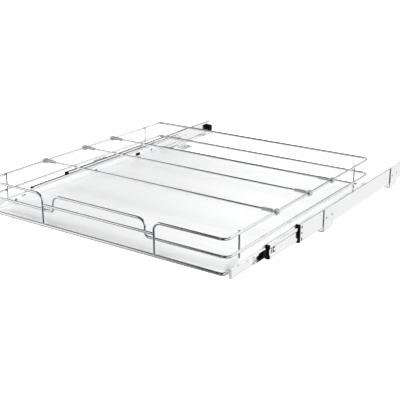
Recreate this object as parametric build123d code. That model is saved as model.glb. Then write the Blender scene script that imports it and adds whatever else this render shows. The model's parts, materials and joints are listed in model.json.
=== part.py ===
from build123d import *
import os

# Pull out cabinet basket: a chromed wire gallery on a ribbed sheet tray, with three cross dividers,
# on two three-part ball slides whose brackets are screwed to the floor or the sides of a cabinet.
#
# Frame: the origin lies on the cabinet floor in the middle of the four floor screws.
# +X points right, +Y to the back of the cabinet, +Z up. All sizes are in millimetres.

# ---- cabinet and brackets
OVERALL_WIDTH = 571.5        # outside of the right brackets to outside of the left ones
BRACKET_PITCH = 320.0        # front floor screws to rear floor screws
SLIDE_SETBACK = 109.0        # slide's front end to the front floor screws
BRACKET_SHEET = 1.5
BRACKET_BEND = 3.0
BRACKET_HEIGHT = 45.5
BRACKET_WIDTH = 43.5
CHAMFER_LENGTH = 7.0         # rear lower corner of the upright plate
CHAMFER_HEIGHT = 13.0
FOOT_LENGTH = 24.5           # from the plate's outside, towards the basket
FOOT_WIDTH = 34.0
FOOT_SLOT_REACH = 14.75      # plate's outside to the slot's centre
FOOT_SLOT_LENGTH = 11.0
FOOT_SLOT_WIDTH = 5.5
SIDE_HOLE_DIAMETER = 4.2
SIDE_HOLE_INSET = 9.5        # bracket's front edge to the first side hole
SIDE_HOLE_PITCH = 24.0

# ---- slide: outer, middle and inner rail, nested like channels
SLIDE_LENGTH = 550.0
SLIDE_HEIGHT = 35.0
SLIDE_THICKNESS = 12.7
SLIDE_CENTRE_Z = 27.0
RAIL_SHEET = 1.2
RAIL_CORNER = 2.0
BALL_DIAMETER = 3.2
BALL_CLEARANCE = 0.03
OUTER_FLANGE = 10.2          # depth of the outer rail, from its cabinet side
OUTER_LIP = 2.6
MIDDLE_WEB_DEPTH = 2.6       # beside the flanges
MIDDLE_RECESS = 1.4          # how much deeper the web lies along its middle
MIDDLE_RECESS_HALF = 5.8     # half height of the recess at its floor
MIDDLE_RECESS_CORNER = 1.4
MIDDLE_FLANGE_END = 10.9
MIDDLE_LIP = 2.0
MIDDLE_CORNER = 1.5
MIDDLE_LENGTH = 514.0
MIDDLE_OUT = 104.5           # how far it stands ahead of the outer rail as stored
INNER_LENGTH = 542.0
INNER_FLANGE_DEPTH = 7.0
INNER_OUT = 219.5            # how far the inner rail stands ahead of the outer rail as stored

# ---- ball cages
CAGE_SHEET = 0.6
CAGE_CORNER = 1.0
OUTER_CAGE_WEB = 1.6         # depth of its web's cabinet side
INNER_CAGE_WEB = 5.5
CAGE_LENGTH = 200.0
CAGE_FLANGE_OVERHANG = 1.0   # past the ball's far side
BALL_PITCH = 22.0
BALLS_PER_ROW = 9
BALL_POCKET = 0.4            # added to the ball's diameter
OUTER_BALL_DEPTH = 5.6
INNER_BALL_DEPTH = 8.2
OUTER_CAGE_SETBACK = 107.5   # behind the outer rail's front end, as stored
INNER_CAGE_SETBACK = 20.5

# ---- black plastic pieces of the slide
FRONT_BUFFER_LENGTH = 2.5
FRONT_BUFFER_TONGUE = 13.0
FRONT_BUFFER_GAP = 0.4       # to the middle rail that runs through it
SNAP_SLOT_WIDTH = 4.2
SNAP_SLOT_HEIGHT = 5.5
MIDDLE_SNAP_HEIGHT = 3.5
SNAP_SLOT_SETBACK = 3.4
SNAP_SLOT_PITCH = 11.5
SNAP_FIT = 0.1
MIDDLE_BUFFER_LENGTH = 2.5
MIDDLE_BUFFER_PROUD = 0.15   # past the middle rail's outside
MIDDLE_BUFFER_DEPTH = 6.0    # cabinet side of its passage for the inner rail
PASSAGE_CLEARANCE = 0.4
MIDDLE_BUFFER_TONGUE = 21.0
TONGUE_HALF_HEIGHT = 5.6
BUFFER_LIMB_HALF = 5.3       # limb of the front buffer in the middle rail's recess
RECESS_CLEARANCE = 0.35      # from that limb to the middle buffer that passes it
CATCH_SLOT_FRONT = 5.4       # plain slot in the middle rail's web, from its front end
CATCH_SLOT_LENGTH = 2.8
CATCH_FRONT = 11.2           # C shaped window behind it
CATCH_BAR = 3.4
CATCH_LIMB = 5.0
CATCH_HALF_HEIGHT = 5.0
CATCH_LIMB_HEIGHT = 2.6
REAR_STOP_LENGTH = 5.0
REAR_STOP_HEIGHT = 5.0
REAR_STOP_DEPTH = 9.0
REAR_BUFFER_INSET = 1.0      # outer rail's rear end to the buffer's rear face
REAR_BUFFER_LENGTH = 10.0
REAR_BUFFER_HEIGHT = 16.0
REAR_BUFFER_REACH = 13.5
PLASTIC_SEAT = 0.05
PLASTIC_EDGE = 1.0

# ---- release lever in the inner rail, with its places measured from the inner rail's front end
LEVER_PIVOT_Y = 108.0
LEVER_TAIL_FRONT = 79.0
LEVER_BODY_FRONT = 100.5
LEVER_HEEL = 106.0           # behind it the lower edge is relieved, so that the lever can turn
LEVER_REAR = 117.0
LEVER_TAIL_TIP = 1.0         # height of the tail's tip
LEVER_TAIL_RISE = 4.0        # height of the tail where it meets the body
LEVER_TAIL_THICKNESS = 1.4
LEVER_HEAD_TOP = 6.4         # body's upper front corner above the slide's centre
LEVER_REAR_TOP = 5.8
LEVER_REAR_BOTTOM = 6.2
LEVER_DEPTH = 6.6            # its cabinet side
LEVER_EDGE = 1.2
LEVER_RUNNING_GAP = 0.2
LEVER_WEB_GAP = 0.5
PIN_DIAMETER = 3.0
PIN_RUNNING_GAP = 0.05
PIN_HEAD_DIAMETER = 5.0
PIN_HEAD_HEIGHT = 0.25

# ---- inner rail's window, with its bent tab, from the inner rail's front end
WINDOW_FRONT = 64.0
WINDOW_LENGTH = 14.0
WINDOW_HEIGHT = 8.0
WINDOW_DROP = 2.0            # its centre below the slide's centre
TAB_REACH = 3.2

# ---- wire gallery
BASKET_DEPTH = 546.0         # front wires' centres to back wires' centres
INNER_RAIL_LAG = 7.0         # inner rail's front end behind the front wires
BASE_WIRE_Z = 27.0
BASE_WIRE_DIAMETER = 6.0
RAIL_WIRE_DIAMETER = 5.0
UPRIGHT_DIAMETER = 4.0
MIDDLE_WIRE_RISE = 28.2      # above the base wire
HANDLE_WIRE_RISE = 39.0
HANDLE_RISE = 59.2           # top of the middle wire's raised handle
TOP_WIRE_RISE = 60.3
UPRIGHT_RISE = 62.8
CORNER_RADIUS = 12.0
BASE_CORNER_RADIUS = 7.0
OPENING_HALF_WIDTH = 127.9   # where the top wire's ends come down at the front
HANDLE_HALF_WIDTH = 105.5    # where the middle wire turns up into the raised handle
HANDLE_BEND = 14.0
HANDLE_FOOT_BEND = 8.0
UPRIGHT_FRONT_Y = 45.0
UPRIGHT_REAR_INSET = 62.0    # from the back wires
WELD_SINK = 0.1
OVERCUT = 1.0                # how far a cutting block runs past what it cuts

# ---- tray
TRAY_SHEET = 1.2
TRAY_FLOOR_RISE = 1.0        # floor's upper face above the base wire's centre
TRAY_WIRE_GAP = 0.1
TRAY_HEM = 5.0
TRAY_PLAN_CORNER = 8.0
RIB_PITCH = 23.5
RIB_WIDTH = 14.0
RIB_HEIGHT = 0.4
FOLD_WIDTH = 10.0
FOLD_RISE = 13.0             # fold's top above the base wire's centre
FOLD_DROP = 5.0
FOLD_CORNER = 2.0
FOLD_END = 14.0              # front and rear ends of the folds, from the wires
FOLD_RAMP = 26.0
FOLD_RAMP_START = 4.6
BASE_WIRE_INSET = 5.0        # base wire's centre inside the tray's outer face
RAIL_WIRE_INSET = 0.1        # the same for the wires above the fold
RAIL_SEAT = 0.05
SCREW_PLACES = (60.0, 300.0, 500.0)
SCREW_RISE = 5.2
SCREW_DIAMETER = 3.8
SCREW_HOLE = 0.2
SCREW_TAIL = 1.8
SCREW_HEAD_DIAMETER = 5.2
SCREW_HEAD_HEIGHT = 1.8
DRIVER_HOLE = 6.0
LOCATING_SLOT_Y = 82.0
LOCATING_SLOT_RISE = 9.0
LOCATING_SLOT_LENGTH = 10.0
LOCATING_SLOT_HEIGHT = 2.5
CLIP_INSET = 99.0            # rear clip's centre to the back wires
CLIP_RISE = 7.0              # its centre above the base wire's centre
CLIP_LENGTH = 13.0
CLIP_HEIGHT = 6.0
CLIP_WALL = 1.8
CLIP_SLOT_LENGTH = 8.0
CLIP_SLOT_HEIGHT = 3.0
CLIP_SHANK = 2.2             # past the wall's inner face

# ---- dividers
DIVIDER_PLACES = {"front": 157.2, "middle": 277.9, "rear": 370.8}
ROD_DIAMETER = 4.0
ROD_RISE = 1.0               # rod's centre above the top wire's centre
ROD_END_INSET = 10.0         # rod's end inside the side wire's centre
ROD_FIT = 0.05
HOOK_WALL = 3.0
HOOK_RUNNING_GAP = 0.1
HOOK_WIDTH = 9.0
HOOK_MOUTH = 3.6
BARREL_REACH = 28.0          # side wire's centre to the barrel's inner end
BARREL_LENGTH = 19.5
BARREL_BIG_RADIUS = 3.6
BARREL_SMALL_RADIUS = 3.2
NECK_RADIUS = 2.6            # between the barrel and the hook

# ---- places worked out from the sizes above
bracket_face_x = OVERALL_WIDTH / 2
slide_face_x = bracket_face_x - BRACKET_SHEET
rail_face_x = slide_face_x - SLIDE_THICKNESS
tray_face_x = rail_face_x - RAIL_SEAT
base_wire_x = tray_face_x - BASE_WIRE_INSET
side_wire_x = tray_face_x - RAIL_WIRE_INSET
fold_inner_x = tray_face_x - FOLD_WIDTH
slide_front_y = -BRACKET_PITCH / 2 - SLIDE_SETBACK
inner_front_y = slide_front_y - INNER_OUT
middle_front_y = slide_front_y - MIDDLE_OUT
front_wire_y = inner_front_y - INNER_RAIL_LAG
back_wire_y = front_wire_y + BASKET_DEPTH
top_wire_z = BASE_WIRE_Z + TOP_WIRE_RISE
fold_top_z = BASE_WIRE_Z + FOLD_RISE
floor_z = BASE_WIRE_Z + TRAY_FLOOR_RISE
upright_x = side_wire_x - (RAIL_WIRE_DIAMETER + UPRIGHT_DIAMETER) / 2 + WELD_SINK
ball_space = BALL_DIAMETER + 2 * BALL_CLEARANCE
outer_clear = SLIDE_HEIGHT / 2 - RAIL_SHEET
middle_half = outer_clear - ball_space
inner_half = middle_half - RAIL_SHEET - ball_space
recess_depth = MIDDLE_WEB_DEPTH + MIDDLE_RECESS
recess_inside = recess_depth + RAIL_SHEET
recess_edge = MIDDLE_RECESS_HALF + MIDDLE_RECESS
passage_depth = MIDDLE_WEB_DEPTH - FRONT_BUFFER_GAP
inner_web_depth = SLIDE_THICKNESS - RAIL_SHEET
lever_far = inner_web_depth - LEVER_WEB_GAP
bracket_fronts = [side * BRACKET_PITCH / 2 - FOOT_WIDTH / 2 for side in (-1, 1)]
snap_slots = [(-SNAP_SLOT_PITCH, SNAP_SLOT_HEIGHT), (0, MIDDLE_SNAP_HEIGHT),
              (SNAP_SLOT_PITCH, SNAP_SLOT_HEIGHT)]

PARTS = {}


def keep(name, shape):
    """Hold one piece under the name of its node."""
    PARTS[name] = shape


def keep_pair(name, right_shape):
    """Hold a right-hand piece and its mirror image on the left."""
    keep(name + "_right", right_shape)
    keep(name + "_left", mirror(right_shape, about=Plane.YZ))


# ---------------------------------------------------------------- drawing helpers
def channel(points, corner, sheet):
    """Section of bent sheet, its outside along the points, its thickness on the left of them."""
    outside = FilletPolyline(*points, radius=corner)
    return make_face(offset(outside, amount=sheet, side=Side.LEFT).edges())


def c_points(flange_end, web, half_height, lip):
    """Outside of a C whose web is at one depth and whose flanges run to another, with lips."""
    return [(flange_end, half_height - lip), (flange_end, half_height), (web, half_height),
            (web, -half_height), (flange_end, -half_height), (flange_end, lip - half_height)]


def block_section(depths, heights):
    """Rectangle between two depths and two heights of the slide."""
    centre = Pos(sum(depths) / 2, sum(heights) / 2)
    return centre * Rectangle(depths[1] - depths[0], heights[1] - heights[0])


def along_slide(section, front, rear):
    """Run a section along the right slide. Its x is the depth from the cabinet side, its y the height."""
    start = Plane(origin=(slide_face_x, front, SLIDE_CENTRE_Z), x_dir=(-1, 0, 0), z_dir=(0, 1, 0))
    return extrude(start * section, amount=rear - front)


def slide_block(depths, heights, front, rear):
    return along_slide(block_section(depths, heights), front, rear)


def cross_hole(diameter, x_range, y, z):
    """Round hole or bar along X."""
    start = Plane(origin=(x_range[0], y, z), x_dir=(0, 1, 0), z_dir=(1, 0, 0))
    return extrude(start * Circle(diameter / 2), amount=x_range[1] - x_range[0])


def depth_range(near, far):
    """X range of the right slide between two depths, low end first."""
    return (slide_face_x - far, slide_face_x - near)


def side_profile(points, x_range, corner=0):
    """Prism along X whose outline is given in Y and Z."""
    outline = make_face(Polyline(*points, close=True).edges())
    if corner:
        outline = fillet(outline.vertices(), corner)
    start = Plane(origin=(x_range[0], 0, 0), x_dir=(0, 1, 0), z_dir=(1, 0, 0))
    return extrude(start * outline, amount=x_range[1] - x_range[0])


def wire(path, diameter):
    """Round wire along a path."""
    return sweep(Plane(path @ 0, z_dir=path % 0) * Circle(diameter / 2), path=path)


# ---------------------------------------------------------------- brackets and outer rail
def bracket(front):
    """Angle bracket: a plate on the outer rail's side and a slotted foot on the cabinet floor."""
    outside = FilletPolyline((bracket_face_x - FOOT_LENGTH, 0), (bracket_face_x, 0),
                             (bracket_face_x, BRACKET_HEIGHT), radius=BRACKET_BEND)
    section = make_face(offset(outside, amount=BRACKET_SHEET, side=Side.LEFT).edges())
    start = Plane(origin=(0, front, 0), x_dir=(1, 0, 0), z_dir=(0, -1, 0))
    body = extrude(start * section, amount=-BRACKET_WIDTH)
    foot_tip_x = bracket_face_x - FOOT_LENGTH
    foot_rear = front + FOOT_WIDTH
    rear = front + BRACKET_WIDTH
    past_rear = rear + OVERCUT
    body -= side_profile([(foot_rear, -OVERCUT), (past_rear, -OVERCUT), (past_rear, BRACKET_BEND),
                          (foot_rear, BRACKET_BEND)],
                         (foot_tip_x - OVERCUT, bracket_face_x - BRACKET_BEND))
    body -= side_profile([(rear - CHAMFER_LENGTH, 0), (past_rear, 0), (past_rear, CHAMFER_HEIGHT),
                          (rear, CHAMFER_HEIGHT)], (foot_tip_x - OVERCUT, bracket_face_x + OVERCUT))
    slot = Pos(bracket_face_x - FOOT_SLOT_REACH, front + FOOT_WIDTH / 2, 0) * SlotOverall(
        FOOT_SLOT_LENGTH, FOOT_SLOT_WIDTH)
    body -= extrude(slot, amount=BRACKET_SHEET)
    for hole in side_holes(front):
        body -= hole
    return body


def side_holes(front):
    """Two screw holes through a bracket's plate and the outer rail's web."""
    places = [front + SIDE_HOLE_INSET, front + SIDE_HOLE_INSET + SIDE_HOLE_PITCH]
    x_range = (slide_face_x - 2 * RAIL_SHEET, bracket_face_x + OVERCUT)
    return [cross_hole(SIDE_HOLE_DIAMETER, x_range, y, SLIDE_CENTRE_Z) for y in places]


def outer_rail():
    """Rail fixed in the cabinet: a C with inward lips, snap slots at the front and screw holes."""
    section = channel(c_points(OUTER_FLANGE, 0, SLIDE_HEIGHT / 2, OUTER_LIP), RAIL_CORNER, RAIL_SHEET)
    body = along_slide(section, slide_front_y, slide_front_y + SLIDE_LENGTH)
    for height, length in snap_slots:
        body -= snap_block(height, length, -OVERCUT, 2 * RAIL_SHEET, 0)
    for front in bracket_fronts:
        for hole in side_holes(front):
            body -= hole
    return body


def snap_block(height, length, near, far, slack):
    """Block in one of the snap slots at the outer rail's front."""
    half = length / 2 - slack
    front = slide_front_y + SNAP_SLOT_SETBACK + slack
    rear = slide_front_y + SNAP_SLOT_SETBACK + SNAP_SLOT_WIDTH - slack
    return slide_block((near, far), (height - half, height + half), front, rear)


def front_buffer():
    """Black C around the outer rail's mouth, held by a tongue with three snaps."""
    passage_half = middle_half + FRONT_BUFFER_GAP
    face = Pos(OUTER_FLANGE / 2, 0) * RectangleRounded(OUTER_FLANGE, SLIDE_HEIGHT, RAIL_CORNER)
    face -= block_section((passage_depth, SLIDE_THICKNESS), (-passage_half, passage_half))
    face += block_section((passage_depth, recess_depth - FRONT_BUFFER_GAP),
                          (-BUFFER_LIMB_HALF, BUFFER_LIMB_HALF))
    body = along_slide(face, slide_front_y - FRONT_BUFFER_LENGTH, slide_front_y)
    seat = RAIL_SHEET + PLASTIC_SEAT
    body += slide_block((seat, passage_depth), (-middle_half, middle_half),
                        slide_front_y, slide_front_y + FRONT_BUFFER_TONGUE)
    for height, length in snap_slots:
        body += snap_block(height, length, SNAP_FIT, seat, SNAP_FIT)
    return body


def rear_buffer():
    """Black block in the outer rail's rear end, which stops the basket's rear."""
    front = slide_front_y + SLIDE_LENGTH - REAR_BUFFER_INSET - REAR_BUFFER_LENGTH
    body = slide_block((RAIL_SHEET + PLASTIC_SEAT, REAR_BUFFER_REACH),
                       (-REAR_BUFFER_HEIGHT / 2, REAR_BUFFER_HEIGHT / 2),
                       front, front + REAR_BUFFER_LENGTH)
    return fillet(body.edges(), radius=PLASTIC_EDGE)


# ---------------------------------------------------------------- middle rail
def middle_rail():
    """Rail that runs in the outer rail and carries the inner one, its web recessed along the middle."""
    upper = [(MIDDLE_FLANGE_END, middle_half - MIDDLE_LIP), (MIDDLE_FLANGE_END, middle_half),
             (MIDDLE_WEB_DEPTH, middle_half), (MIDDLE_WEB_DEPTH, recess_edge),
             (recess_depth, MIDDLE_RECESS_HALF)]
    lower = [(depth, -height) for depth, height in reversed(upper)]
    bends = [MIDDLE_CORNER, MIDDLE_CORNER, MIDDLE_RECESS_CORNER, MIDDLE_RECESS_CORNER]
    section = channel(upper + lower, bends + bends[::-1], RAIL_SHEET)
    body = along_slide(section, middle_front_y, middle_front_y + MIDDLE_LENGTH)
    return body - catch_blocks(MIDDLE_WEB_DEPTH, MIDDLE_BUFFER_DEPTH, 0)


def catch_blocks(near, far, slack):
    """Slot in the middle rail's web and a C shape behind it, open to the rear: a bar and two limbs."""
    front = middle_front_y + CATCH_FRONT + slack
    bar_rear = middle_front_y + CATCH_FRONT + CATCH_BAR - slack
    limb_rear = bar_rear + CATCH_LIMB
    outer = CATCH_HALF_HEIGHT - slack
    inner = CATCH_HALF_HEIGHT - CATCH_LIMB_HEIGHT + slack
    slot_front = middle_front_y + CATCH_SLOT_FRONT + slack
    slot_rear = middle_front_y + CATCH_SLOT_FRONT + CATCH_SLOT_LENGTH - slack
    body = slide_block((near, far), (-outer, outer), slot_front, slot_rear)
    body += slide_block((near, far), (-outer, outer), front, bar_rear)
    body += slide_block((near, far), (inner, outer), bar_rear, limb_rear)
    body += slide_block((near, far), (-outer, -inner), bar_rear, limb_rear)
    return body


def middle_buffer():
    """Black C on the middle rail's front edge, held by a tongue that fills the window in the web."""
    web = MIDDLE_WEB_DEPTH - MIDDLE_BUFFER_PROUD
    half = middle_half + MIDDLE_BUFFER_PROUD
    front = middle_front_y - MIDDLE_BUFFER_LENGTH
    passage_half = inner_half + PASSAGE_CLEARANCE
    face = Pos((MIDDLE_FLANGE_END + web) / 2, 0) * RectangleRounded(
        MIDDLE_FLANGE_END - web, 2 * half, MIDDLE_CORNER)
    face -= block_section((MIDDLE_BUFFER_DEPTH, SLIDE_THICKNESS), (-passage_half, passage_half))
    recess_half = BUFFER_LIMB_HALF + RECESS_CLEARANCE
    face -= block_section((0, recess_depth - FRONT_BUFFER_GAP + RECESS_CLEARANCE),
                          (-recess_half, recess_half))
    body = along_slide(face, front, middle_front_y)
    seat = recess_inside + PLASTIC_SEAT
    body += slide_block((seat, MIDDLE_BUFFER_DEPTH), (-TONGUE_HALF_HEIGHT, TONGUE_HALF_HEIGHT),
                        middle_front_y, middle_front_y + MIDDLE_BUFFER_TONGUE)
    return body + catch_blocks(recess_depth + PLASTIC_SEAT, seat, SNAP_FIT)


def middle_stop():
    """Black stop on the middle rail's web at its rear end."""
    rear = middle_front_y + MIDDLE_LENGTH
    body = slide_block((recess_inside + PLASTIC_SEAT, REAR_STOP_DEPTH),
                       (-REAR_STOP_HEIGHT / 2, REAR_STOP_HEIGHT / 2), rear - REAR_STOP_LENGTH, rear)
    return fillet(body.edges(), radius=PLASTIC_EDGE)


# ---------------------------------------------------------------- ball cages
def ball_row(front):
    """Y places of the balls of one cage, centred on its length."""
    first = front + (CAGE_LENGTH - (BALLS_PER_ROW - 1) * BALL_PITCH) / 2
    return [first + step * BALL_PITCH for step in range(BALLS_PER_ROW)]


def cage(web, ball_depth, track, front):
    """Thin C that spaces two rows of balls, with a round pocket for each ball."""
    half = track + CAGE_SHEET / 2
    flange_end = ball_depth + BALL_DIAMETER / 2 + CAGE_FLANGE_OVERHANG
    points = [(flange_end, half), (web, half), (web, -half), (flange_end, -half)]
    body = along_slide(channel(points, CAGE_CORNER, CAGE_SHEET), front, front + CAGE_LENGTH)
    pockets = Cylinder((BALL_DIAMETER + BALL_POCKET) / 2, 2 * half + OVERCUT)
    for y in ball_row(front):
        body -= Pos(slide_face_x - ball_depth, y, SLIDE_CENTRE_Z) * pockets
    return body


def balls(ball_depth, track, front):
    """Both rows of steel balls of one cage."""
    ball = Sphere(BALL_DIAMETER / 2)
    places = [(y, side * track) for y in ball_row(front) for side in (-1, 1)]
    return Compound([Pos(slide_face_x - ball_depth, y, SLIDE_CENTRE_Z + height) * ball
                     for y, height in places])


# ---------------------------------------------------------------- inner rail and its lever
def inner_rail():
    """Rail screwed to the tray: a C that opens to the cabinet side, closed by a plate at its front."""
    points = [(INNER_FLANGE_DEPTH, -inner_half), (SLIDE_THICKNESS, -inner_half),
              (SLIDE_THICKNESS, inner_half), (INNER_FLANGE_DEPTH, inner_half)]
    body = along_slide(channel(points, RAIL_CORNER, RAIL_SHEET), inner_front_y,
                       inner_front_y + INNER_LENGTH)
    body += slide_block((INNER_FLANGE_DEPTH, inner_web_depth), (-inner_half, inner_half),
                        inner_front_y, inner_front_y + RAIL_SHEET)
    window = (-WINDOW_DROP - WINDOW_HEIGHT / 2, -WINDOW_DROP + WINDOW_HEIGHT / 2)
    window_front = inner_front_y + WINDOW_FRONT
    window_rear = window_front + WINDOW_LENGTH
    body -= slide_block((inner_web_depth - OVERCUT, SLIDE_THICKNESS + OVERCUT), window, window_front, window_rear)
    body += slide_block((inner_web_depth - TAB_REACH, SLIDE_THICKNESS), window,
                        window_rear, window_rear + RAIL_SHEET)
    for y in SCREW_PLACES:
        body -= screw_hole(y)
    pivot_y = inner_front_y + LEVER_PIVOT_Y
    body -= cross_hole(PIN_DIAMETER, depth_range(inner_web_depth - OVERCUT, SLIDE_THICKNESS + OVERCUT),
                       pivot_y, SLIDE_CENTRE_Z)
    return body


def lever_points(places):
    """Points of the lever's outline, from places behind the inner rail's front and heights."""
    return [(inner_front_y + y, SLIDE_CENTRE_Z + height) for y, height in places]


def lever():
    """Black release lever in the inner rail: a body on the pin and a thin tail along the lower flange."""
    low = LEVER_RUNNING_GAP + RAIL_SHEET - inner_half
    body = side_profile(lever_points([
        (LEVER_BODY_FRONT, low), (LEVER_HEEL, low), (LEVER_HEEL + LEVER_EDGE, -LEVER_REAR_BOTTOM),
        (LEVER_REAR, -LEVER_REAR_BOTTOM), (LEVER_REAR, LEVER_REAR_TOP),
        (LEVER_BODY_FRONT, LEVER_HEAD_TOP)]), depth_range(LEVER_DEPTH, lever_far))
    body += side_profile(lever_points([
        (LEVER_TAIL_FRONT, low), (LEVER_HEEL, low), (LEVER_HEEL, low + LEVER_TAIL_RISE),
        (LEVER_BODY_FRONT, low + LEVER_TAIL_RISE), (LEVER_TAIL_FRONT, low + LEVER_TAIL_TIP)]),
        depth_range(LEVER_DEPTH, LEVER_DEPTH + LEVER_TAIL_THICKNESS))
    body -= cross_hole(PIN_DIAMETER + 2 * PIN_RUNNING_GAP, depth_range(LEVER_DEPTH - OVERCUT, SLIDE_THICKNESS),
                       inner_front_y + LEVER_PIVOT_Y, SLIDE_CENTRE_Z)
    return body


def lever_pin():
    """Rivet the lever turns on, with a flat head on the cabinet side."""
    pivot_y = inner_front_y + LEVER_PIVOT_Y
    head_seat = LEVER_DEPTH - PLASTIC_SEAT
    body = cross_hole(PIN_DIAMETER, depth_range(head_seat, SLIDE_THICKNESS), pivot_y, SLIDE_CENTRE_Z)
    body += cross_hole(PIN_HEAD_DIAMETER, depth_range(head_seat - PIN_HEAD_HEIGHT, head_seat),
                       pivot_y, SLIDE_CENTRE_Z)
    return body


# ---------------------------------------------------------------- tray
def tray_point(y, rise):
    """Y and Z of a point of the basket, from the front wires and the base wire."""
    return (front_wire_y + y, BASE_WIRE_Z + rise)


def rib_places():
    """Y of every rib, in the middle of the floor at an even pitch."""
    room = BASKET_DEPTH - 2 * (FOLD_END + RIB_WIDTH)
    count = int(room / RIB_PITCH) + 1
    first = (BASKET_DEPTH - (count - 1) * RIB_PITCH) / 2
    return [first + step * RIB_PITCH for step in range(count)]


def rib_line(rise):
    """Edges of the ribbed floor seen from the side, flat between round ribs."""
    edges = []
    flat_from = BASE_WIRE_DIAMETER / 2 + TRAY_WIRE_GAP
    start = tray_point(flat_from, rise)
    for y in rib_places():
        foot = tray_point(y - RIB_WIDTH / 2, rise)
        edges.append(Line(start, foot))
        start = tray_point(y + RIB_WIDTH / 2, rise)
        edges.append(ThreePointArc(foot, tray_point(y, rise + RIB_HEIGHT), start))
    end = tray_point(BASKET_DEPTH - flat_from, rise)
    edges.append(Line(start, end))
    return edges, end


def tray_floor():
    """Ribbed sheet between the folds, hemmed down behind the front and back base wires."""
    half_width = fold_inner_x + TRAY_SHEET
    upper, upper_end = rib_line(TRAY_FLOOR_RISE)
    lower, lower_end = rib_line(TRAY_FLOOR_RISE - TRAY_SHEET)
    ends = [Line(upper[0] @ 0, lower[0] @ 0), Line(upper_end, lower_end)]
    outline = make_face(Curve() + upper + lower + ends)
    start = Plane(origin=(-half_width, 0, 0), x_dir=(0, 1, 0), z_dir=(1, 0, 0))
    sheet = extrude(start * outline, amount=2 * half_width)
    hem_from = BASE_WIRE_DIAMETER / 2 + TRAY_WIRE_GAP
    hem_height = TRAY_HEM + TRAY_SHEET / 2
    for y in (hem_from + TRAY_SHEET / 2, BASKET_DEPTH - hem_from - TRAY_SHEET / 2):
        sheet += Pos(0, front_wire_y + y, floor_z - TRAY_SHEET / 2 - hem_height / 2) * Box(
            2 * half_width, TRAY_SHEET, hem_height)
    plan = Pos(0, front_wire_y + BASKET_DEPTH / 2, floor_z) * RectangleRounded(
        2 * half_width, BASKET_DEPTH - 2 * hem_from, TRAY_PLAN_CORNER)
    return sheet & extrude(plan, amount=2 * TRAY_HEM + TRAY_SHEET, both=True)


def tray_fold():
    """Right edge of the tray, folded over the side wire into an upside-down U, with a ramp in front."""
    points = [(tray_face_x, BASE_WIRE_Z - FOLD_DROP), (tray_face_x, fold_top_z),
              (fold_inner_x, fold_top_z), (fold_inner_x, floor_z - TRAY_SHEET)]
    section = channel(points, FOLD_CORNER, TRAY_SHEET)
    front = front_wire_y + FOLD_END
    ramp_rear = front + FOLD_RAMP
    ramp_start_z = BASE_WIRE_Z + FOLD_RAMP_START
    start = Plane(origin=(0, front, 0), x_dir=(1, 0, 0), z_dir=(0, -1, 0))
    fold = extrude(start * section, amount=2 * FOLD_END - BASKET_DEPTH)
    before = front - OVERCUT
    over = fold_top_z + OVERCUT
    cut = [(before, ramp_start_z), (front, ramp_start_z), (ramp_rear, fold_top_z), (ramp_rear, over),
           (before, over)]
    fold -= side_profile(cut, (fold_inner_x - OVERCUT, tray_face_x + OVERCUT))
    lid = [(front, ramp_start_z), (ramp_rear, fold_top_z), (ramp_rear, fold_top_z - TRAY_SHEET),
           (front, ramp_start_z - TRAY_SHEET)]
    return fold + side_profile(lid, (fold_inner_x, tray_face_x))


def screw_hole(y):
    """Hole for one of the screws between the tray and the inner rail."""
    x_range = (tray_face_x - 2 * TRAY_SHEET, rail_face_x + 2 * RAIL_SHEET)
    return cross_hole(SCREW_DIAMETER + SCREW_HOLE, x_range, *tray_point(y, SCREW_RISE))


def tray():
    """Whole tray: the floor, both folds and the holes in them."""
    fold = tray_fold()
    wall = (fold_inner_x - OVERCUT, fold_inner_x + 2 * TRAY_SHEET)
    for y in SCREW_PLACES:
        fold -= screw_hole(y)
        fold -= cross_hole(DRIVER_HOLE, wall, *tray_point(y, SCREW_RISE))
    slot_y, slot_z = tray_point(LOCATING_SLOT_Y, LOCATING_SLOT_RISE)
    fold -= Pos(sum(wall) / 2, slot_y, slot_z) * Box(
        wall[1] - wall[0], LOCATING_SLOT_LENGTH, LOCATING_SLOT_HEIGHT)
    fold -= clip_block(wall, CLIP_SLOT_LENGTH, CLIP_SLOT_HEIGHT)
    return tray_floor() + fold + mirror(fold, about=Plane.YZ)


def tray_screws():
    """Pan screws from inside the fold, through its outer wall and the inner rail's web."""
    seat_x = tray_face_x - TRAY_SHEET
    tail_x = rail_face_x + RAIL_SHEET + SCREW_TAIL
    screws = []
    for y in SCREW_PLACES:
        place = tray_point(y, SCREW_RISE)
        head = cross_hole(SCREW_HEAD_DIAMETER, (seat_x - SCREW_HEAD_HEIGHT, seat_x), *place)
        head = fillet(head.faces().sort_by(Axis.X)[0].edges(), radius=PLASTIC_EDGE)
        screws.append(head + cross_hole(SCREW_DIAMETER, (seat_x, tail_x), *place))
    return Compound(screws)


def clip_block(x_range, length, height):
    """Block at the rear clip's place in the fold's inner wall."""
    y, z = tray_point(BASKET_DEPTH - CLIP_INSET, CLIP_RISE)
    return Pos(sum(x_range) / 2, y, z) * Box(x_range[1] - x_range[0], length, height)


def rear_clip():
    """Black clip on the inner wall of the tray's fold, with a shank in a slot of the wall."""
    seat_x = fold_inner_x - PLASTIC_SEAT
    plate = clip_block((seat_x - CLIP_WALL, seat_x), CLIP_LENGTH, CLIP_HEIGHT)
    plate = fillet(plate.edges().filter_by(Axis.X), radius=PLASTIC_EDGE)
    return plate + clip_block((seat_x - CLIP_WALL / 2, fold_inner_x + CLIP_SHANK),
                              CLIP_SLOT_LENGTH - 2 * PLASTIC_SEAT, CLIP_SLOT_HEIGHT - 2 * PLASTIC_SEAT)


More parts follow.
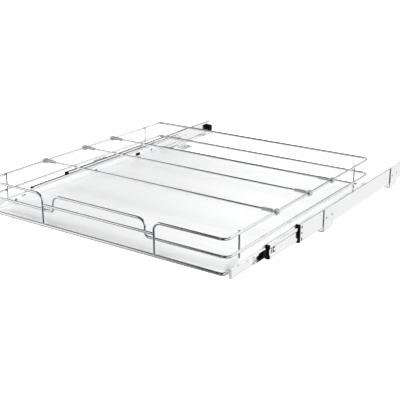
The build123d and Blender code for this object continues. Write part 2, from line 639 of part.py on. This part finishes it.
# ---------------------------------------------------------------- wire gallery
def base_wire():
    """Heavy closed wire at the floor's level."""
    y_mid = front_wire_y + BASKET_DEPTH / 2
    ring = Pos(0, y_mid, BASE_WIRE_Z) * RectangleRounded(
        2 * base_wire_x, BASKET_DEPTH, BASE_CORNER_RADIUS)
    return wire(ring.wires()[0], BASE_WIRE_DIAMETER)


def middle_wire():
    """Closed wire at half height that turns up at the front into the raised handle."""
    low = BASE_WIRE_Z + MIDDLE_WIRE_RISE
    high = BASE_WIRE_Z + HANDLE_RISE
    y_front = front_wire_y + RAIL_WIRE_DIAMETER - WELD_SINK
    half = HANDLE_HALF_WIDTH
    corners = [(-side_wire_x, back_wire_y, low), (-side_wire_x, y_front, low), (-half, y_front, low),
               (-half, y_front, high), (half, y_front, high), (half, y_front, low),
               (side_wire_x, y_front, low), (side_wire_x, back_wire_y, low)]
    bends = [CORNER_RADIUS, CORNER_RADIUS, HANDLE_FOOT_BEND, HANDLE_BEND]
    path = FilletPolyline(*corners, radius=bends + bends[::-1], close=True)
    return wire(path, RAIL_WIRE_DIAMETER)


def top_wire():
    """Rim wire, open at the front, where both ends come down to the base wire."""
    foot = BASE_WIRE_Z + BASE_WIRE_DIAMETER / 2 - WELD_SINK
    half = OPENING_HALF_WIDTH
    corners = [(-half, front_wire_y, foot), (-half, front_wire_y, top_wire_z),
               (-side_wire_x, front_wire_y, top_wire_z), (-side_wire_x, back_wire_y, top_wire_z),
               (side_wire_x, back_wire_y, top_wire_z), (side_wire_x, front_wire_y, top_wire_z),
               (half, front_wire_y, top_wire_z), (half, front_wire_y, foot)]
    bends = [HANDLE_BEND, CORNER_RADIUS, CORNER_RADIUS]
    return wire(FilletPolyline(*corners, radius=bends + bends[::-1]), RAIL_WIRE_DIAMETER)


def handle_wire():
    """Straight wire across the front opening, between the rim wire's ends."""
    reach = OPENING_HALF_WIDTH - RAIL_WIRE_DIAMETER / 2 + WELD_SINK
    y, z = tray_point(0, HANDLE_WIRE_RISE)
    return cross_hole(RAIL_WIRE_DIAMETER, (-reach, reach), y, z)


def upright(y):
    """Short wire that stands on the tray's fold inside the side wires."""
    place = Pos(upright_x, front_wire_y + y, fold_top_z - WELD_SINK)
    height = UPRIGHT_RISE - FOLD_RISE + WELD_SINK
    bar = place * Cylinder(UPRIGHT_DIAMETER / 2, height, align=(Align.CENTER, Align.CENTER, Align.MIN))
    return chamfer(bar.faces().sort_by(Axis.Z)[-1].edges(), length=UPRIGHT_DIAMETER / 8)


# ---------------------------------------------------------------- dividers
def divider_rod(y):
    """Cross rod of one divider."""
    reach = side_wire_x - ROD_END_INSET
    return cross_hole(ROD_DIAMETER, (-reach, reach), front_wire_y + y, top_wire_z + ROD_RISE)


def divider_clip(y):
    """Grey end piece: a hook that snaps over the rim wire, a neck and a barrel for the rod's end."""
    place = Pos(side_wire_x, front_wire_y + y, top_wire_z)
    bore = RAIL_WIRE_DIAMETER / 2 + HOOK_RUNNING_GAP
    lie_along_y = Rot(90, 0, 0)
    body = place * lie_along_y * Cylinder(bore + HOOK_WALL, HOOK_WIDTH)
    barrel_start = place * Pos(-BARREL_REACH, 0, ROD_RISE) * Rot(0, 90, 0)
    from_start = (Align.CENTER, Align.CENTER, Align.MIN)
    body += barrel_start * Cone(BARREL_SMALL_RADIUS, BARREL_BIG_RADIUS, BARREL_LENGTH, align=from_start)
    body += barrel_start * Cylinder(NECK_RADIUS, BARREL_REACH, align=from_start)
    body -= place * lie_along_y * Cylinder(bore, 2 * HOOK_WIDTH)
    mouth_drop = bore + HOOK_WALL + OVERCUT
    body -= place * Pos(0, 0, -mouth_drop / 2) * Box(HOOK_MOUTH, 2 * HOOK_WIDTH, mouth_drop)
    rod_end = side_wire_x - ROD_END_INSET + ROD_FIT
    body -= cross_hole(ROD_DIAMETER + 2 * ROD_FIT, (side_wire_x - BARREL_REACH - OVERCUT, rod_end),
                       front_wire_y + y, top_wire_z + ROD_RISE)
    return body


# ---------------------------------------------------------------- the assembly
def build():
    keep_pair("bracket_front", bracket(bracket_fronts[0]))
    keep_pair("bracket_rear", bracket(bracket_fronts[1]))
    keep_pair("outer_rail", outer_rail())
    keep_pair("front_buffer", front_buffer())
    keep_pair("rear_buffer", rear_buffer())
    keep_pair("middle_rail", middle_rail())
    keep_pair("middle_buffer", middle_buffer())
    keep_pair("middle_stop", middle_stop())

    outer_track = middle_half + ball_space / 2
    outer_cage_y = slide_front_y + OUTER_CAGE_SETBACK
    keep_pair("outer_cage", cage(OUTER_CAGE_WEB, OUTER_BALL_DEPTH, outer_track, outer_cage_y))
    keep_pair("outer_balls", balls(OUTER_BALL_DEPTH, outer_track, outer_cage_y))
    inner_track = inner_half + ball_space / 2
    inner_cage_y = slide_front_y + INNER_CAGE_SETBACK
    keep_pair("inner_cage", cage(INNER_CAGE_WEB, INNER_BALL_DEPTH, inner_track, inner_cage_y))
    keep_pair("inner_balls", balls(INNER_BALL_DEPTH, inner_track, inner_cage_y))

    keep_pair("inner_rail", inner_rail())
    keep_pair("release_lever", lever())
    keep_pair("lever_pin", lever_pin())
    keep_pair("tray_screws", tray_screws())
    keep_pair("rear_clip", rear_clip())
    keep("tray", tray())

    keep("base_wire", base_wire())
    keep("middle_wire", middle_wire())
    keep("top_wire", top_wire())
    keep("handle_wire", handle_wire())
    keep_pair("upright_front", upright(UPRIGHT_FRONT_Y))
    keep_pair("upright_rear", upright(BASKET_DEPTH - UPRIGHT_REAR_INSET))

    for name, y in DIVIDER_PLACES.items():
        keep("divider_rod_" + name, divider_rod(y))
        keep_pair("divider_clip_" + name, divider_clip(y))


def write():
    os.makedirs("parts", exist_ok=True)
    for name, shape in PARTS.items():
        export_step(shape, "parts/" + name + ".step")


build()
write()
print(len(PARTS), "pieces written")
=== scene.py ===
import json
import math

import bpy
import numpy as np
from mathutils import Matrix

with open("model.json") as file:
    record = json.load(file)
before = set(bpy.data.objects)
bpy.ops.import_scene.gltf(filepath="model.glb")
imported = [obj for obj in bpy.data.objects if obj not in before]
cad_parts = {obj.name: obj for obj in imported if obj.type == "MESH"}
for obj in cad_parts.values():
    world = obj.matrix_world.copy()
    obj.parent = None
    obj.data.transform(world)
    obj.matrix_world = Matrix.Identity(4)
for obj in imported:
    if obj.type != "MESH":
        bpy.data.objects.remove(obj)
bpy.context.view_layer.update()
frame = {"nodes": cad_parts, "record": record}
nodes = frame["nodes"]
scene = bpy.context.scene

# Lengths are in metres and angles in degrees.

# ---- camera, fitted to the slides, wires and rods in the photograph
CAMERA_PLACE = (0.93189, -1.53412, 0.58502)
CAMERA_DOWN = 19.29
CAMERA_TURN = 34.39          # to the left of straight ahead
CAMERA_LENS = 76.05          # in millimetres, as the sensor is
SENSOR_WIDTH = 36.0
VIEW_END = 50.0

# ---- soft boxes, unseen in reflections
LAMP_TARGET = (0, -0.1, 0)
KEY_PLACE = (-1.6, -1.4, 2.2)
KEY_SIZE = (1.6, 1.6)
KEY_POWER = 94
FILL_PLACE = (2.2, -0.6, 1.6)
FILL_SIZE = (1.4, 1.4)
FILL_POWER = 46

# ---- floor, and the dark card that the wires' right ends reflect: painted shade of the floor, seen only in reflections
FLOOR_HALF = 12.0
FLOOR_DROP = 0.0005          # under the brackets' feet
FLOOR_GLOW = 0.60
CARD_ACROSS = (-0.1, 0.75)
CARD_BACK = (-0.95, -0.60)
CARD_HEIGHT = 0.001
DULL = 0.9                   # roughness of the floor and the card

# ---- dark patches of the surroundings. A reflected direction has a part across (X), back (Y) and up (Z).
# Each pair holds the two values of one of them between which a patch fades in or out.
CEILING_LOW = (0.62, 0.72)
FRONT_LEFT = (-0.61, -0.50)
FRONT_RIGHT = (0.56, 0.66)
FRONT_BACK = (-0.55, -0.40)
FRONT_LOW = (-0.415, -0.385)
PALE_LEFT = (-0.48, -0.42)
PALE_RIGHT = (-0.1, 0.0)
PALE_SHARE = 0.35            # what the pale stretch takes from the front patch
BEHIND_FRONT = (0.80, 0.86)
BEHIND_LOW = (0.34, 0.38)
BEHIND_DARK = 0.8
UNDER_TOP = (-0.56, -0.44)
UNDER_DARK = 0.8
BESIDE_RIGHT = (-0.56, -0.48)
BESIDE_FRONT = (0.1, 0.3)
BESIDE_LOW = (0.08, 0.16)
BESIDE_DARK = 0.9
AROUND_LOW = (-0.46, -0.42)
AROUND_TOP = (-0.24, -0.20)
AROUND_LEFT = (-0.46, -0.42)
AROUND_BACK = (0.40, 0.50)
AROUND_DARK = 0.95
HORIZON = (-0.02, 0.02)
LOW_LEVEL = 0.98             # brightness below the horizon
SKY_EXTRA = 0.16             # added above it
DARKEST = 0.97               # share of the light that a full patch takes

# ---- grain of the finishes
EVEN = (1, 1, 1)
BRUSHED = (1, 0.2, 1)        # drawn out along the basket's depth
ROLLED = (1, 0.05, 1)
METAL_CLOUD = 9.0            # cycles per metre
CLOUD_SHARE = 0.6
GRAIN_SHARE = 0.4
PLASTIC_CLOUD = 60.0
PLASTIC_DETAIL = 2.0
PLASTIC_ROUGH_SPREAD = 0.12


# ---------------------------------------------------------------- camera and lamps
def add_camera():
    data = bpy.data.cameras.new("camera")
    data.lens = CAMERA_LENS
    data.sensor_width = SENSOR_WIDTH
    data.clip_end = VIEW_END
    camera = bpy.data.objects.new("camera", data)
    camera.location = CAMERA_PLACE
    camera.rotation_euler = (math.radians(90 - CAMERA_DOWN), 0, math.radians(CAMERA_TURN))
    scene.collection.objects.link(camera)
    scene.camera = camera


def add_soft_box(name, place, size, power):
    """Rectangular lamp that faces the basket."""
    data = bpy.data.lights.new(name, "AREA")
    data.shape = "RECTANGLE"
    data.size, data.size_y = size
    data.energy = power
    lamp = bpy.data.objects.new(name, data)
    lamp.location = place
    away = np.array(place, float) - np.array(LAMP_TARGET, float)
    yaw = math.atan2(away[1], away[0]) + math.pi / 2
    pitch = math.atan2(math.hypot(away[0], away[1]), away[2])
    lamp.rotation_euler = (pitch, 0, yaw)
    lamp.visible_glossy = False
    scene.collection.objects.link(lamp)


# ---------------------------------------------------------------- shader maths
class Graph:
    """Node tree of one material, with one method that adds any node."""

    def __init__(self, tree):
        self.tree = tree
        tree.nodes.clear()

    def add(self, kind, settings=None, **inputs):
        """New node. An input is named as its socket is, with _ for a space, or i and the socket's number."""
        node = self.tree.nodes.new(kind)
        for key, value in (settings or {}).items():
            setattr(node, key, value)
        for key, value in inputs.items():
            place = int(key[1:]) if key[1:].isdigit() else key.replace("_", " ")
            socket = node.inputs[place]
            if isinstance(value, Value):
                self.tree.links.new(value.socket, socket)
            else:
                socket.default_value = value
        return node

    def value(self, node, output=0):
        return Value(self, node.outputs[output])

    def maths(self, operation, *values):
        inputs = {"i%d" % index: value for index, value in enumerate(values)}
        return self.value(self.add("ShaderNodeMath", {"operation": operation}, **inputs))


class Value:
    """Output of a node that takes part in Python expressions."""

    def __init__(self, graph, socket):
        self.graph = graph
        self.socket = socket

    def __add__(self, other):
        return self.graph.maths("ADD", self, other)

    def __radd__(self, other):
        return self.graph.maths("ADD", other, self)

    def __sub__(self, other):
        return self.graph.maths("SUBTRACT", self, other)

    def __rsub__(self, other):
        return self.graph.maths("SUBTRACT", other, self)

    def __mul__(self, other):
        return self.graph.maths("MULTIPLY", self, other)

    def __rmul__(self, other):
        return self.graph.maths("MULTIPLY", other, self)


# ---------------------------------------------------------------- finishes
def new_material(name):
    material = bpy.data.materials.new(name)
    material.use_nodes = True
    return material, Graph(material.node_tree)


def noise(graph, scale, stretch=EVEN, detail=3.0):
    """Noise in object space, in cycles per metre, with its own stretch along X, Y and Z."""
    place = graph.value(graph.add("ShaderNodeTexCoord"), "Object")
    stretched = graph.value(graph.add("ShaderNodeMapping", Vector=place, Scale=stretch))
    texture = graph.add("ShaderNodeTexNoise", Vector=stretched, Scale=scale, Detail=detail)
    return graph.value(texture, "Fac")


def blend_colours(graph, factor, dark, light):
    """Colour that goes from dark to light as the factor goes from 0 to 1."""
    mix = graph.add("ShaderNodeMix", {"data_type": "RGBA"}, Factor=factor, i6=(*dark, 1), i7=(*light, 1))
    return graph.value(mix, 2)


def bumped(graph, height, depth):
    """Normal from a height field, with its depth in metres."""
    return graph.value(graph.add("ShaderNodeBump", Height=height, Distance=depth, Strength=1.0))


def finish_surface(graph, **inputs):
    shader = graph.add("ShaderNodeBsdfPrincipled", **inputs)
    output = graph.add("ShaderNodeOutputMaterial")
    graph.tree.links.new(shader.outputs[0], output.inputs[0])


def steel(name, dark, light, rough, rough_spread, grain_scale, bump=1e-5, stretch=EVEN, metallic=1.0):
    """Metal whose tone follows a broad cloud and a fine grain, and whose roughness follows the grain."""
    material, graph = new_material(name)
    cloud = noise(graph, METAL_CLOUD)
    grain = noise(graph, grain_scale, stretch)
    tone = blend_colours(graph, cloud * CLOUD_SHARE + grain * GRAIN_SHARE, dark, light)
    finish_surface(graph, Base_Color=tone, Metallic=metallic, Roughness=rough + rough_spread * grain,
                   Normal=bumped(graph, grain, bump))
    return material


def plastic(name, dark, light, rough, grain_scale, bump, metallic=0.0, index=1.5):
    """Moulded plastic whose tone follows a cloud, and whose roughness follows a fine grain."""
    material, graph = new_material(name)
    cloud = noise(graph, PLASTIC_CLOUD)
    grain = noise(graph, grain_scale, detail=PLASTIC_DETAIL)
    tone = blend_colours(graph, cloud, dark, light)
    finish_surface(graph, Base_Color=tone, Metallic=metallic, Roughness=rough + PLASTIC_ROUGH_SPREAD * grain,
                   IOR=index, Normal=bumped(graph, grain, bump))
    return material


materials = {
    "chrome_wire": steel(
        "chrome_wire", dark=(0.74, 0.75, 0.77), light=(0.84, 0.85, 0.87),
        rough=0.08, rough_spread=0.05, grain_scale=260),
    "tray_chrome": steel(
        "tray_chrome", dark=(0.93, 0.935, 0.94), light=(0.97, 0.972, 0.975),
        rough=0.34, rough_spread=0.10, grain_scale=300, stretch=BRUSHED, metallic=0.42),
    "slide_steel": steel(
        "slide_steel", dark=(0.85, 0.855, 0.86), light=(0.94, 0.942, 0.945),
        rough=0.10, rough_spread=0.12, grain_scale=900, stretch=ROLLED),
    "bracket_steel": steel(
        "bracket_steel", dark=(0.84, 0.845, 0.85), light=(0.93, 0.932, 0.935),
        rough=0.16, rough_spread=0.12, grain_scale=500),
    "ball_steel": steel(
        "ball_steel", dark=(0.55, 0.55, 0.57), light=(0.7, 0.7, 0.72),
        rough=0.05, rough_spread=0.08, grain_scale=800, bump=5e-6),
    "screw_steel": steel(
        "screw_steel", dark=(0.5, 0.5, 0.52), light=(0.7, 0.7, 0.72),
        rough=0.22, rough_spread=0.2, grain_scale=1500),
    "black_plastic": plastic(
        "black_plastic", dark=(0.003, 0.003, 0.003), light=(0.008, 0.008, 0.009),
        rough=0.42, grain_scale=3000, bump=1.5e-5, index=1.15),
    "grey_plastic": plastic(
        "grey_plastic", dark=(0.40, 0.405, 0.41), light=(0.50, 0.505, 0.51),
        rough=0.14, grain_scale=2500, bump=1e-5, metallic=0.7),
}


def dress_nodes():
    """Gives every piece the finish that its record names."""
    for part in frame["record"]["subparts"]:
        node = nodes[part["node"]]
        node.data.materials.clear()
        node.data.materials.append(materials[part["material_slot"]])


# ---------------------------------------------------------------- stage
def flat_sheet(name, across, back, height, **surface):
    """Level rectangle between two values across and two values back, with a plain surface."""
    corners = [(across[0], back[0], height), (across[1], back[0], height),
               (across[1], back[1], height), (across[0], back[1], height)]
    mesh = bpy.data.meshes.new(name)
    mesh.from_pydata(corners, [], [(0, 1, 2, 3)])
    material, graph = new_material(name)
    finish_surface(graph, Roughness=DULL, **surface)
    mesh.materials.append(material)
    sheet = bpy.data.objects.new(name, mesh)
    scene.collection.objects.link(sheet)
    return sheet


def add_floor():
    """Large pale floor just under the feet, left out of reflections."""
    reach = (-FLOOR_HALF, FLOOR_HALF)
    floor = flat_sheet("floor", reach, reach, -FLOOR_DROP, Base_Color=(0.9, 0.9, 0.9, 1),
                       Emission_Color=(1, 1, 1, 1), Emission_Strength=FLOOR_GLOW)
    floor.visible_glossy = False


def add_dark_card():
    """Low dark card in front of the right corner, seen only in reflections: painted shade of the floor
    there.
    """
    # the near-black colour of the card is painted shade, seen only in reflections
    card = flat_sheet("dark_card", CARD_ACROSS, CARD_BACK, CARD_HEIGHT, Base_Color=(0.02, 0.02, 0.02, 1))
    card.visible_camera = False
    card.visible_diffuse = False
    card.visible_shadow = False


def add_world():
    """White surroundings with dark patches for the chrome and steel to reflect, all white to the camera."""
    world = bpy.data.worlds.new("studio")
    world.use_nodes = True
    scene.world = world
    graph = Graph(world.node_tree)
    direction = graph.value(graph.add("ShaderNodeTexCoord"), "Generated")
    split = graph.add("ShaderNodeSeparateXYZ", Vector=direction)
    height = graph.value(split, "Z")
    back = graph.value(split, "Y")
    across = graph.value(split, "X")

    def rise(value, edge):
        """0 below the edge's first value, 1 above its second, smooth between them."""
        low, high = edge
        node = graph.add("ShaderNodeMapRange", {"interpolation_type": "SMOOTHSTEP"}, Value=value,
                         From_Min=low, From_Max=high)
        return graph.value(node)

    def fall(value, edge):
        """1 below the edge's first value, 0 above its second, smooth between them."""
        low, high = edge
        return rise(-1 * value, (-high, -low))

    ceiling = rise(height, CEILING_LOW)
    pale = 1.0 - PALE_SHARE * rise(across, PALE_LEFT) * fall(across, PALE_RIGHT)
    middle = rise(across, FRONT_LEFT) * fall(across, FRONT_RIGHT)
    front = pale * fall(back, FRONT_BACK) * middle * rise(height, FRONT_LOW)
    behind = BEHIND_DARK * rise(back, BEHIND_FRONT) * rise(height, BEHIND_LOW)
    under = UNDER_DARK * fall(height, UNDER_TOP)
    beside = BESIDE_DARK * fall(across, BESIDE_RIGHT) * rise(back, BESIDE_FRONT) * rise(height, BESIDE_LOW)
    low_band = rise(height, AROUND_LOW) * fall(height, AROUND_TOP)
    around = AROUND_DARK * low_band * rise(across, AROUND_LEFT) * fall(back, AROUND_BACK)
    dark = ceiling
    for patch in (front, behind, under, beside, around):
        dark = graph.maths("MAXIMUM", dark, patch)
    level = LOW_LEVEL + SKY_EXTRA * rise(height, HORIZON)
    white = level - level * DARKEST * dark
    seen = graph.value(graph.add("ShaderNodeLightPath"), "Is Camera Ray")
    strength = white + seen * (1.0 - white)
    background = graph.add("ShaderNodeBackground", Color=(1, 1, 1, 1), Strength=strength)
    output = graph.add("ShaderNodeOutputWorld")
    graph.tree.links.new(background.outputs[0], output.inputs[0])


add_camera()
add_world()
add_floor()
add_dark_card()
add_soft_box("key_light", KEY_PLACE, KEY_SIZE, KEY_POWER)
add_soft_box("fill_light", FILL_PLACE, FILL_SIZE, FILL_POWER)
scene.view_settings.view_transform = "Standard"

dress_nodes()
